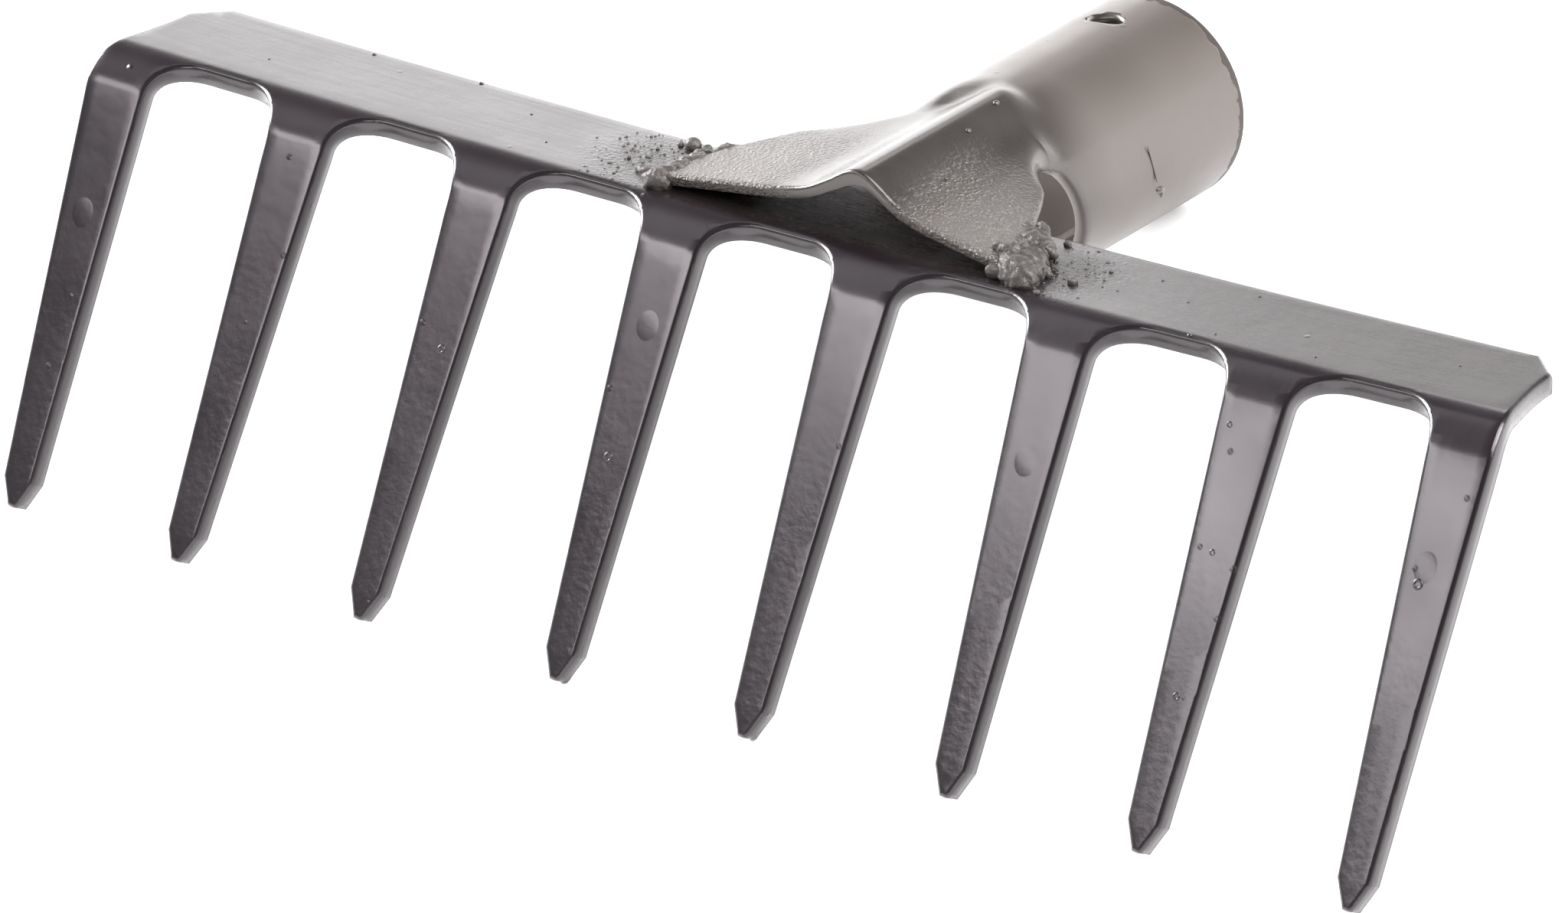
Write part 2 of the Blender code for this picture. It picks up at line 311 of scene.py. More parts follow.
def slot_outline(centre):
    """Top of the slot to the right of a tine: a round corner, a short flat and a round corner."""
    middle = centre + 0.5 * PITCH
    turn = np.linspace(math.pi, 0.5 * math.pi, int(0.5 * math.pi * SLOT_CORNER / OUTLINE_STEP))
    side = 0.5 * PITCH - ROOT_HALF_WIDTH - SLOT_CORNER
    x = middle - side + SLOT_CORNER * np.cos(turn)
    y = -SLOT_TOP - SLOT_CORNER * (1.0 - np.sin(turn))
    corner = np.column_stack([x, y])[1:]
    count = int(2.0 * side / OUTLINE_STEP)
    flat = np.column_stack([np.linspace(middle - side, middle + side, count)[1:-1],
                            np.full(count - 2, -SLOT_TOP)])
    other = corner[::-1] * (-1.0, 1.0) + (2.0 * middle, 0.0)
    return np.concatenate([corner, flat, other])


def end_outline():
    """Right-hand end of the band, from the outer tine's root up to the rear edge."""
    outer = HALF_SPAN + ROOT_HALF_WIDTH
    chamfer = BAND_DEPTH - REAR_CHAMFER
    y = np.linspace(-ROOT_AT, chamfer, int((ROOT_AT + chamfer) / OUTLINE_STEP))[1:]
    share = smooth((chamfer - y) / (ROOT_AT + chamfer))
    side = np.column_stack([BAND_HALF_LENGTH + share * (outer - BAND_HALF_LENGTH), y])
    cut = np.linspace([BAND_HALF_LENGTH, chamfer], [BAND_HALF_LENGTH - REAR_CHAMFER, BAND_DEPTH], 6)[1:]
    return np.concatenate([side, cut])


def comb_outline():
    """The whole blank, anticlockwise seen from above."""
    right_end = end_outline()
    left_end = (right_end * (-1.0, 1.0))[::-1]
    runs = [left_end]
    for tine in range(TINES):
        centre = (tine - MIDDLE_TINE) * PITCH
        runs.append(tine_outline(centre))
        if tine < TINES - 1:
            runs.append(slot_outline(centre))
    runs.append(right_end)
    rear = BAND_HALF_LENGTH - REAR_CHAMFER
    count = int(2.0 * rear / CUT_STEP)
    runs.append(np.column_stack([np.linspace(rear, -rear, count)[1:-1], np.full(count - 2, BAND_DEPTH)]))
    return np.concatenate(runs)


def inward(outline):
    """Unit normals that point into an anticlockwise outline."""
    ahead = np.roll(outline, -1, axis=0) - outline
    ahead /= np.linalg.norm(ahead, axis=1)[:, None]
    mean = ahead + np.roll(ahead, 1, axis=0)
    mean /= np.linalg.norm(mean, axis=1)[:, None]
    return np.column_stack([-mean[:, 1], mean[:, 0]])


def edge_rings():
    """Inset and height of each ring of points, down the comb's sheared edge."""
    bevel = BEVEL_SHARE * COMB_ROLL
    rings = [(COMB_ROLL * (1.0 - math.sin(turn)), -COMB_ROLL * (1.0 - math.cos(turn))) for turn in ROLL_TURNS]
    return rings + [(0.0, -0.5 * SHEET), (0.0, bevel - SHEET), (bevel, -SHEET)]


def build_plate(outline, cuts):
    """Plate as a bmesh: rings round both edges, with the flat faces cut across so that they can bend."""
    shell = bmesh.new()
    rim = shell.verts.layers.float.new("rim")
    normal = inward(outline)
    loops = []
    for order, (inset, z) in enumerate(edge_rings()):
        ring = outline + inset * normal
        loops.append([shell.verts.new((x, y, z)) for x, y in ring])
        for corner in loops[-1]:
            corner[rim] = 1.0 if 0 < order < len(ROLL_TURNS) else 0.0
    count = len(outline)
    for upper, lower in zip(loops, loops[1:]):
        for index in range(count):
            after = (index + 1) % count
            shell.faces.new((upper[index], lower[index], lower[after], upper[after]))
    shell.faces.new(loops[0])
    shell.faces.new(loops[-1][::-1])
    for axis, places in enumerate(cuts):
        normal_out = (1.0, 0.0, 0.0) if axis == 0 else (0.0, 1.0, 0.0)
        for place in places:
            point = (place, 0.0, 0.0) if axis == 0 else (0.0, place, 0.0)
            everything = shell.verts[:] + shell.edges[:] + shell.faces[:]
            bmesh.ops.bisect_plane(shell, geom=everything, dist=2e-6, plane_co=point, plane_no=normal_out)
    return shell


def bend_sheet(points):
    """Bend flat points (z is below the face) into the comb, with its small welding bow and lean of tines."""
    x = points[:, 0].copy()
    along = -points[:, 1]
    depth = -points[:, 2]
    turn = np.clip(along / BEND_RADIUS, 0.0, BEND_ANGLE)
    straight = np.maximum(along - BEND_RADIUS * BEND_ANGLE, 0.0)
    nearest = np.clip(np.round(x / PITCH + MIDDLE_TINE), 0, TINES - 1).astype(int)
    onset = straight * smooth(straight / TINE_EASE)
    lean = np.radians(np.array(TINE_LEAN))[nearest] * onset
    lift = np.radians(np.array(TINE_LIFT))[nearest] * onset
    radius = BEND_RADIUS - depth
    y = -radius * np.sin(turn) - straight * math.cos(BEND_ANGLE) + np.maximum(-along, 0.0)
    z = -BEND_RADIUS + radius * np.cos(turn) - straight * math.sin(BEND_ANGLE)
    y -= lift * math.sin(BEND_ANGLE)
    z += lift * math.cos(BEND_ANGLE)
    share = (x / HALF_SPAN) ** 2
    return np.column_stack([x + lean, y - BOW_LEAD * share, z + BOW_RISE * share])


def on_sheet(x, along):
    """Frame on the comb's outer face: across, down the sheet and into it."""
    flat = np.array([(x, -along, 0.0), (x + PROBE_STEP, -along, 0.0), (x, -along - PROBE_STEP, 0.0)])
    middle, beside, below = (Vector(point) for point in bend_sheet(flat))
    side = (beside - middle).normalized()
    down = (below - middle).normalized()
    place = Matrix((side, down, side.cross(down).normalized())).transposed().to_4x4()
    place.translation = middle
    return place


def add_ring(form, place, radius, thickness):
    """Raised rim of a small crater in the paint."""
    around, across = 18, 8
    grid = []
    for step in range(around):
        turn = 2.0 * math.pi * step / around
        ring = []
        for part in range(across):
            curl = 2.0 * math.pi * part / across
            reach = radius + thickness * math.cos(curl)
            spot = (reach * math.cos(turn), reach * math.sin(turn), 0.8 * thickness * math.sin(curl))
            ring.append(form.verts.new(place @ Vector(spot)))
        grid.append(ring)
    for step in range(around):
        after = grid[(step + 1) % around]
        for part in range(across):
            other = (part + 1) % across
            form.faces.new((grid[step][part], grid[step][other], after[other], after[part]))


def add_paint_marks(mesh):
    """Craters, blisters and flat runs in the paint, each a small closed body sunk in the sheet."""
    form = bmesh.new()
    form.from_mesh(mesh)
    along = form.verts.layers.float["along"]
    before = len(form.verts)
    for x, place, radius in CRATERS:
        add_ring(form, on_sheet(x, place), radius, CRATER_RIM * radius)
    for x, place, radius in BLISTERS:
        wide, deep, high = (share * radius for share in BLISTER_SHAPE)
        spot = on_sheet(x, place) @ Matrix.Diagonal((wide, deep, high, 1.0))
        bmesh.ops.create_icosphere(form, subdivisions=2, radius=1.0, matrix=spot)
    for x, place in RUNS:
        spot = on_sheet(x, place) @ Matrix.Translation((0.0, 0.0, RUN_SINK))
        spot = spot @ Matrix.Diagonal((*RUN_SIZES, 1.0))
        bmesh.ops.create_icosphere(form, subdivisions=4, radius=1.0, matrix=spot)
    form.verts.ensure_lookup_table()
    for corner in form.verts[before:]:
        corner[along] = MARK_ALONG
    bmesh.ops.recalc_face_normals(form, faces=form.faces)
    form.to_mesh(mesh)
    form.free()


def comb_sand(flat):
    """How sandy the paint is at each point of the flat blank, from 0 to 1."""
    near = [np.hypot((flat[:, 0] - x) / stretch, flat[:, 1] - y) for x, y, stretch in SAND_PATCHES]
    return smooth(1.0 - np.minimum.reduce(near) / SAND_REACH)


def make_comb(material):
    """The stamped and bent comb, with rolled edges and marks in its paint."""
    bend_end = BEND_RADIUS * BEND_ANGLE
    cuts_y = np.concatenate([np.arange(-TIP_AT + CUT_STEP, -bend_end - 0.5 * CUT_STEP, CUT_STEP),
                             np.linspace(-bend_end, 0.0, BEND_CUTS),
                             np.arange(CUT_STEP, BAND_DEPTH - 0.5 * CUT_STEP, CUT_STEP)])
    cuts_x = np.arange(-CUT_REACH, CUT_REACH + 0.25 * CUT_STEP, CUT_STEP) + CUT_SHIFT
    shell = build_plate(comb_outline(), (cuts_x, cuts_y))
    mesh = bpy.data.meshes.new("tine_comb_sheet")
    shell.to_mesh(mesh)
    shell.free()
    flat = np.zeros(len(mesh.vertices) * 3)
    mesh.vertices.foreach_get("co", flat)
    flat = flat.reshape(-1, 3)
    add_layer(mesh, "along", -flat[:, 1])
    add_layer(mesh, "sand", comb_sand(flat))
    mesh.vertices.foreach_set("co", bend_sheet(flat).ravel())
    mesh.update()
    add_paint_marks(mesh)
    finish_piece("tine_comb_sheet", mesh, "tine_comb", material)


# ---------------------------------------------------------------- socket

def saddle_height(x):
    """Height of the saddle's upper face over the band: a low roof with a rib, right of the tube's axis."""
    reach = np.where(x > 0.0, WING_RIGHT, WING_LEFT)
    roof = WALL + GAP + WING_RISE * (1.0 - np.minimum(np.abs(x) / reach, 1.0))
    steps = RIB_EASE * np.linspace(-1.5, 1.5, 7)
    return roof + np.mean([np.interp(x + step, RIB_PLACES, RIB_RISES) for step in steps], axis=0)


def wing_reach(y, side):
    """How far a wing reaches from the socket's axis at y, narrowing to the notch beside the tube."""
    left = np.interp(y, LEFT_EDGE_Y, LEFT_EDGE_X)
    return np.where(np.asarray(side) > 0.0, np.interp(y, RIGHT_EDGE_Y, RIGHT_EDGE_X), left)


def socket_points(across, y):
    """Points on the socket's outer face; across is -1 to 1 between the notches and grows round the tube."""
    turn = across * NOTCH_ANGLE
    tube = np.column_stack([TUBE_RADIUS * np.sin(turn), y, TUBE_Z + TUBE_RADIUS * np.cos(turn)])
    x = across * wing_reach(y, across)
    saddle = np.column_stack([x, y, saddle_height(x)])
    start = NECK_START_Y - NECK_SLANT * np.minimum(np.abs(across), 1.0) ** 2
    share = smooth((y - start) / NECK_LENGTH)
    edge = smooth((y - DROOP_Y) / (NOTCH_Y - DROOP_Y)) * across ** 8
    share = np.clip(np.maximum(share, edge), 0.0, 1.0)
    share = np.where((y >= NECK_END_Y) | ((np.abs(across) > 1.0) & (y > NOTCH_Y)), 1.0, share)
    points = saddle + share[:, None] * (tube - saddle)
    return points + (TUBE_X, 0.0, 0.0)


def socket_normals(across, y):
    """Unit normals of the socket's outer face, by small steps across and back."""
    aside = PROBE_STEP
    behind = PROBE_STEP * 0.1
    sideways = socket_points(across + aside, y) - socket_points(across - aside, y)
    back = socket_points(across, y + behind) - socket_points(across, y - behind)
    normal = np.cross(sideways, back)
    return normal / np.linalg.norm(normal, axis=1)[:, None]


def tube_front(across):
    """Where the tube starts: at the notch beside the saddle, and further back on its underside."""
    share = np.maximum((np.abs(across) - 1.0) / (LAP - 1.0), 0.0)
    return NOTCH_Y + np.sqrt(share) * (TUBE_FRONT_Y - NOTCH_Y)


def spread(start, end, step, roll, ends):
    """Values from start to end, close together within a rolled edge at the ends that have one."""
    near = roll * ROLL_SHARES
    first = start + near if ends[0] else np.array([start])
    last = end - near[::-1] if ends[1] else np.array([end])
    count = max(int((last[0] - first[-1]) / step), 1)
    middle = np.linspace(first[-1], last[0], count + 1)[1:-1]
    return np.concatenate([first, middle, last])


def rolled(distance, roll):
    """Depth under the face at a distance from an edge that is rolled over."""
    off = np.clip(1.0 - distance / roll, 0.0, 1.0)
    return roll * (1.0 - np.sqrt(1.0 - off * off))


def socket_grid():
    """Places across and back of the sheet's points, and the faces between them: the saddle, then the tube."""
    crown = spread(-1.0, 1.0, CROWN_STEP / CROWN_REACH, SOCKET_ROLL / CROWN_REACH, (True, True))
    flank = spread(1.0, LAP, FLANK_STEP / NOTCH_ARC, SOCKET_ROLL / NOTCH_ARC, (False, True))[1:]
    around = np.concatenate([-flank[::-1], crown, flank])
    saddle_rows = spread(SADDLE_FRONT_Y, NOTCH_Y, SADDLE_STEP, SOCKET_ROLL, (True, False))
    tube_rows = spread(0.0, 1.0, TUBE_STEP / TUBE_REACH, SOCKET_ROLL / TUBE_REACH, (True, True))
    across = []
    y = []
    saddle_index = []
    for row in saddle_rows[:-1]:
        saddle_index.append(list(range(len(across), len(across) + len(crown))))
        across.extend(crown)
        y.extend([row] * len(crown))
    tube_index = []
    for row in tube_rows:
        tube_index.append(list(range(len(across), len(across) + len(around))))
        across.extend(around)
        y.extend(tube_front(around) + row * (MOUTH_Y - tube_front(around)))
    saddle_index.append(tube_index[0][len(flank):len(flank) + len(crown)])
    faces = []
    for rows in (saddle_index, tube_index):
        for front, back in zip(rows, rows[1:]):
            for left in range(len(front) - 1):
                faces.append((front[left], front[left + 1], back[left + 1], back[left]))
    return np.array(across), np.array(y), faces


def edge_distance(across, y):
    """Distance of each point of the socket's sheet from the nearest open edge."""
    crown = np.abs(across) <= 1.0
    reach = np.where(crown, wing_reach(y, across), NOTCH_ARC)
    front_gap = np.where(crown, y - SADDLE_FRONT_Y, y - tube_front(across))
    side_gap = np.where(crown & (y < NOTCH_Y), (1.0 - np.abs(across)) * reach, 1.0)
    seam_gap = (LAP - np.abs(across)) * NOTCH_ARC
    return np.minimum.reduce([front_gap, side_gap, seam_gap, MOUTH_Y - y])


def socket_sand(across, y):
    """How sandy the paint is at each point of the sheet: on the wings, and not on the rib or the tube."""
    wing = smooth((WING_SAND_END_Y - y) / WING_SAND_FADE)
    wing = wing * smooth((np.abs(across) - WING_SAND_START) / WING_SAND_EASE)
    return np.where(np.abs(across) <= 1.0, wing, 0.0)


def make_socket(material):
    """The socket: one sheet rolled into a tube, opening at the front into a pressed saddle."""
    across, y, faces = socket_grid()
    distance = edge_distance(across, y)
    outer = socket_points(across, y)
    normal = socket_normals(across, y)
    top = outer - rolled(distance, SOCKET_ROLL)[:, None] * normal
    bottom = outer - (WALL - rolled(distance, BEVEL_SHARE * SOCKET_ROLL))[:, None] * normal
    crest = np.exp(-((outer[:, 0] - TUBE_X - CREST_X) / CREST_WIDTH) ** 2)
    crest *= smooth((CREST_END_Y - y) / CREST_FADE)
    bottom -= (CREST_THICKENING * crest)[:, None] * normal
    bottom[:, 1] += SHEAR_LEAN * np.clip(1.0 - (y - SADDLE_FRONT_Y) / SHEAR_DEPTH, 0.0, 1.0)
    mesh = close_skins("handle_socket_sheet", top, bottom, faces)
    add_layer(mesh, "inside", np.concatenate([np.zeros(len(y)), np.ones(len(y))]))
    add_layer(mesh, "front", np.concatenate([y, y]))
    sand = socket_sand(across, y)
    add_layer(mesh, "sand", np.concatenate([sand, sand]))
    drill_nail_hole(mesh)
    add_socket_marks(mesh)
    finish_piece("handle_socket_sheet", mesh, "handle_socket", material)


def close_skins(name, top, bottom, faces):
    """Close two matching skins into one body by walling their open edges."""
    count = len(top)
    open_edges = {}
    for face in faces:
        for start, end in zip(face, face[1:] + face[:1]):
            if (end, start) in open_edges:
                del open_edges[(end, start)]
            else:
                open_edges[(start, end)] = True
    shell = list(faces)
    shell += [tuple(corner + count for corner in reversed(face)) for face in faces]
    shell += [(end, start, start + count, end + count) for start, end in open_edges]
    mesh = bpy.data.meshes.new(name)
    mesh.from_pydata(np.concatenate([top, bottom]).tolist(), [], shell)
    mesh.update()
    return mesh


def drill_nail_hole(mesh):
    """Cut the nail hole through the top of the tube near its mouth."""
    form = bmesh.new()
    place = Matrix.Translation((NAIL_HOLE_X, NAIL_HOLE_Y, TUBE_Z + TUBE_RADIUS))
    place = place @ Matrix.Diagonal((NAIL_HOLE_HALF_WIDTH, NAIL_HOLE_HALF_LENGTH, 1.0, 1.0))
    bmesh.ops.create_cone(form, cap_ends=True, segments=40, radius1=1.0, radius2=1.0,
                          depth=4.0 * WALL, matrix=place)
    cutter_mesh = bpy.data.meshes.new("nail_hole_cutter")
    form.to_mesh(cutter_mesh)
    form.free()
    cutter = bpy.data.objects.new("nail_hole_cutter", cutter_mesh)
    blank = bpy.data.objects.new("socket_blank", mesh)
    for thing in (cutter, blank):
        bpy.context.scene.collection.objects.link(thing)
    drill = blank.modifiers.new("nail_hole", "BOOLEAN")
    drill.operation = "DIFFERENCE"
    drill.solver = "EXACT"
    drill.object = cutter
    bpy.context.view_layer.update()
    graph = bpy.context.evaluated_depsgraph_get()
    cut = bmesh.new()
    cut.from_object(blank, graph)
    cut.to_mesh(mesh)
    cut.free()
    bpy.data.objects.remove(cutter, do_unlink=True)
    bpy.data.objects.remove(blank, do_unlink=True)


def on_tube(turn, y):
    """Frame on the tube's outer face at an angle from its top: along the tube, round it and outwards."""
    out = Vector((math.sin(turn), 0.0, math.cos(turn)))
    back = Vector((0.0, 1.0, 0.0))
    place = Matrix((back, out.cross(back), out)).transposed().to_4x4()
    place.translation = TUBE_RADIUS * out + Vector((TUBE_X, y, TUBE_Z))
    return place


def add_socket_marks(mesh):
    """The scratch's raised burr and the nick below it, and grains of spatter on the rib."""
    form = bmesh.new()
    form.from_mesh(mesh)
    for turn, y, slant, long, wide, high in TUBE_MARKS:
        spot = on_tube(math.radians(turn), y) @ Matrix.Rotation(math.radians(slant), 4, "Z")
        bmesh.ops.create_icosphere(form, subdivisions=3, radius=1.0,
                                   matrix=spot @ Matrix.Diagonal((long, wide, high, 1.0)))
    for x, y, size in RIB_GRAINS:
        height = float(saddle_height(np.array([x - TUBE_X]))[0])
        spot = Matrix.Translation((x, y, height)) @ Matrix.Diagonal((size, 1.2 * size, size, 1.0))
        bmesh.ops.create_icosphere(form, subdivisions=2, radius=1.0, matrix=spot)
    form.to_mesh(mesh)
    form.free()


# ---------------------------------------------------------------- welds

def add_lump(form, centre, sizes, heading, dip=0.0, detail=3):
    """One ellipsoid, its first size along the heading in plan and its far end dipped by the given angle."""
    turn = Matrix.Rotation(heading, 4, "Z") @ Matrix.Rotation(dip, 4, "Y")
    place = Matrix.Translation(centre) @ turn @ Matrix.Diagonal((*sizes, 1.0))
    bmesh.ops.create_icosphere(form, subdivisions=detail, radius=1.0, matrix=place)


def remeshed(name, form):
    """One closed skin round a heap of lumps, as a new mesh."""
    mesh = bpy.data.meshes.new(name + "_lumps")
    form.to_mesh(mesh)
    form.free()
    body = bpy.data.objects.new(name + "_form", mesh)
    bpy.context.scene.collection.objects.link(body)
    remesh = body.modifiers.new("remesh", "REMESH")
    remesh.mode = "VOXEL"
    remesh.voxel_size = MELT_VOXEL
    ease = body.modifiers.new("ease", "SMOOTH")
    ease.factor = 0.5
    ease.iterations = 2
    bpy.context.view_layer.update()
    graph = bpy.context.evaluated_depsgraph_get()
    melted = bpy.data.meshes.new_from_object(body.evaluated_get(graph))
    bpy.data.objects.remove(body, do_unlink=True)
    melted.name = name
    return melted


def melt(name, form, seed):
    """Melt overlapping lumps into one body, with folds and a fine crust on it."""
    melted = remeshed(name, form)
    count = len(melted.vertices)
    points = np.zeros(count * 3)
    melted.vertices.foreach_get("co", points)
    points = points.reshape(-1, 3)
    normals = np.zeros(count * 3, np.float32)
    melted.vertex_normals.foreach_get("vector", normals)
    normals = normals.reshape(-1, 3)
    folds = 1.0 - 2.0 * np.abs(ripple(points * FOLD_STRETCH, FOLD_SIZE, seed + 1))
    rough = CRUST_HEIGHT * ripple(points, CRUST_SIZE, seed) + FOLD_HEIGHT * folds
    points = points + rough[:, None] * normals
    melted.vertices.foreach_set("co", points.ravel())
    melted.update()
    return melted


def band_height(x):
    """Height of the band's upper face, which the welding has bowed a little."""
    return BOW_RISE * (x / HALF_SPAN) ** 2


def add_spatter(mesh, rng, centre, spread_out, balls):
    """Grains of spatter frozen on the band round a weld, and the few larger balls."""
    form = bmesh.new()
    form.from_mesh(mesh)
    for _ in range(GRAINS):
        x = centre[0] + spread_out[0] * rng.normal()
        y = min(max(centre[1] + spread_out[1] * rng.normal(), -0.0005), BAND_DEPTH - 0.001)
        size = GRAIN_SMALLEST + GRAIN_RANGE * rng.random() ** 2
        add_lump(form, (x, y, band_height(x)), (1.3 * size, size, size), rng.uniform(0.0, math.pi), 0.0, 2)
    for x, y, size in balls:
        add_lump(form, (x, y, band_height(x) + 0.3 * size), (size, size, 0.9 * size), 0.0, 0.0, 3)
    form.to_mesh(mesh)
    form.free()


def saddle_edge(y, side):
    """X of the saddle's edge at y, on the right for side 1 and on the left for side -1."""
    return TUBE_X + side * float(wing_reach(y, side))


def make_right_weld(material):
    """Ragged folded bead down the slanted right-hand edge of the saddle."""
    rng = np.random.default_rng(5)
    form = bmesh.new()
    start, length, count = RIGHT_CORE
    long, wide, high = RIGHT_CORE_SIZES
    for share in np.linspace(0.0, 1.0, count):
        y = start + length * share
        x = saddle_edge(y, 1.0) + 0.0006 + 0.0014 * (1.0 - share)
        body = 1.0 - RIGHT_CORE_TAPER * share
        add_lump(form, (x, y, 0.0013), (long * body, wide, high * body), RIGHT_CORE_HEADING, 0.12)
    start, length, count = RIGHT_FOLDS
    for share in np.linspace(0.0, 1.0, count):
        y = start + length * share + 0.0006 * rng.normal()
        x = saddle_edge(y, 1.0) + 0.0008 + 0.0012 * rng.normal()
        long = 0.0017 + 0.0020 * rng.random()
        fold = 0.0004 + 0.0006 * rng.random()
        lift = 0.0026 + 0.0006 * rng.normal() - 0.0006 * share
        heading = math.radians(RIGHT_FOLD_HEADING + RIGHT_FOLD_TURN * rng.normal())
        add_lump(form, (x, y, lift), (long, fold, 0.0011), heading, math.radians(12.0 + 8.0 * rng.normal()))
    add_lump(form, (0.0352, 0.0004, 0.0014), (0.0012, 0.0007, 0.0010), 0.4)
    add_lump(form, (0.0400, 0.0052, 0.0006), (0.0019, 0.0009, 0.0009), -0.2)
    mesh = melt("weld_bead_right_metal", form, 5)
    add_spatter(mesh, rng, (0.0425, 0.0070), (0.0036, 0.0050), RIGHT_BALLS)
    finish_piece("weld_bead_right_metal", mesh, "weld_bead_right", material)


def make_left_weld(material):
    """Thin broken bead along the left-hand end of the saddle."""
    rng = np.random.default_rng(11)
    form = bmesh.new()
    start, length, count = LEFT_CORE
    for share in np.linspace(0.0, 1.0, count):
        y = start + length * share
        x = saddle_edge(y, -1.0) - 0.0006 + 0.0005 * rng.normal()
        body = 1.0 + 0.25 * rng.normal()
        add_lump(form, (x, y, 0.0009), (0.0021, 0.0013, 0.0015 * body), math.radians(LEFT_HEADING), 0.15)
        if rng.random() < LEFT_FOLD_CHANCE:
            heading = math.radians(LEFT_HEADING + 14.0 * rng.normal())
            add_lump(form, (x - 0.0006, y, 0.0017), (0.0023, 0.0005, 0.0009), heading, 0.3)
    add_lump(form, (-0.0290, 0.0040, 0.0003), (0.0024, 0.0008, 0.0007), math.radians(160.0))
    add_lump(form, (-0.0262, 0.0008, 0.0011), (0.0010, 0.0006, 0.0008), 0.0)
    mesh = melt("weld_bead_left_metal", form, 9)
    add_spatter(mesh, rng, (-0.0330, 0.0080), (0.0042, 0.0055), LEFT_BALLS)
    finish_piece("weld_bead_left_metal", mesh, "weld_bead_left", material)


# ---------------------------------------------------------------- materials

def new_material(name):
    """A material with its node tree and its shader."""
    material = bpy.data.materials.new(name)
    material.use_nodes = True
    tree = material.node_tree
    return material, tree, tree.nodes["Principled BSDF"]


def add(tree, kind, **values):
    """A new node with the given settings."""
    node = tree.nodes.new(kind)
    for key, value in values.items():
        setattr(node, key, value)
    return node


def noise_node(tree, coordinate, scale, detail=3.0, stretch=(1.0, 1.0, 1.0)):
    """Cloudy noise; a stretch below 1 draws it out along that axis."""
    mapping = add(tree, "ShaderNodeMapping")
    mapping.inputs["Scale"].default_value = stretch
    tree.links.new(coordinate, mapping.inputs["Vector"])
    texture = add(tree, "ShaderNodeTexNoise")
    texture.inputs["Scale"].default_value = scale
    texture.inputs["Detail"].default_value = detail
    tree.links.new(mapping.outputs["Vector"], texture.inputs["Vector"])
    return texture.outputs["Fac"]


def ramp(tree, value, low, high, start=0.0, end=1.0):
    """Map a value from low..high to start..end, clamped."""
    node = add(tree, "ShaderNodeMapRange")
    node.inputs["From Min"].default_value = low
    node.inputs["From Max"].default_value = high
    node.inputs["To Min"].default_value = start
    node.inputs["To Max"].default_value = end
    tree.links.new(value, node.inputs["Value"])
    return node.outputs["Result"]


def blend_color(tree, factor, first, second):
    """Mix two colours, each a fixed one or another node's."""
    node = add(tree, "ShaderNodeMix", data_type="RGBA")
    tree.links.new(factor, node.inputs["Factor"])
    for socket, value in ((node.inputs["A"], first), (node.inputs["B"], second)):
        if isinstance(value, tuple):
            socket.default_value = (*value, 1.0)
        else:
            tree.links.new(value, socket)
    return node.outputs["Result"]


def bump(tree, height, strength, distance, normal=None):
    """A bump on top of another, if one is given."""
    node = add(tree, "ShaderNodeBump")
    node.inputs["Strength"].default_value = strength
    node.inputs["Distance"].default_value = distance
    tree.links.new(height, node.inputs["Height"])
    if normal is not None:
        tree.links.new(normal, node.inputs["Normal"])
    return node.outputs["Normal"]


def combine(tree, operation, first, second):
    """Product or sum of two values, each a fixed number or another node's."""
    node = add(tree, "ShaderNodeMath", operation=operation)
    for socket, value in zip(node.inputs, (first, second)):
        if isinstance(value, float):
            socket.default_value = value
        else:
            tree.links.new(value, socket)
    return node.outputs["Value"]


def times(tree, first, second):
    return combine(tree, "MULTIPLY", first, second)


def plus(tree, first, second):
    return combine(tree, "ADD", first, second)


def layer(tree, name):
    """The numbers that add_layer gave the mesh."""
    return add(tree, "ShaderNodeAttribute", attribute_name=name).outputs["Fac"]


def specks(tree, coordinate, scale, size):
    """Scattered dots, one to a random cell: 1 at a dot's middle and 0 away from it."""
    cells = add(tree, "ShaderNodeTexVoronoi")
    cells.inputs["Scale"].default_value = scale
    tree.links.new(coordinate, cells.inputs["Vector"])
    return ramp(tree, cells.outputs["Distance"], 0.3 * size, size, 1.0, 0.0)


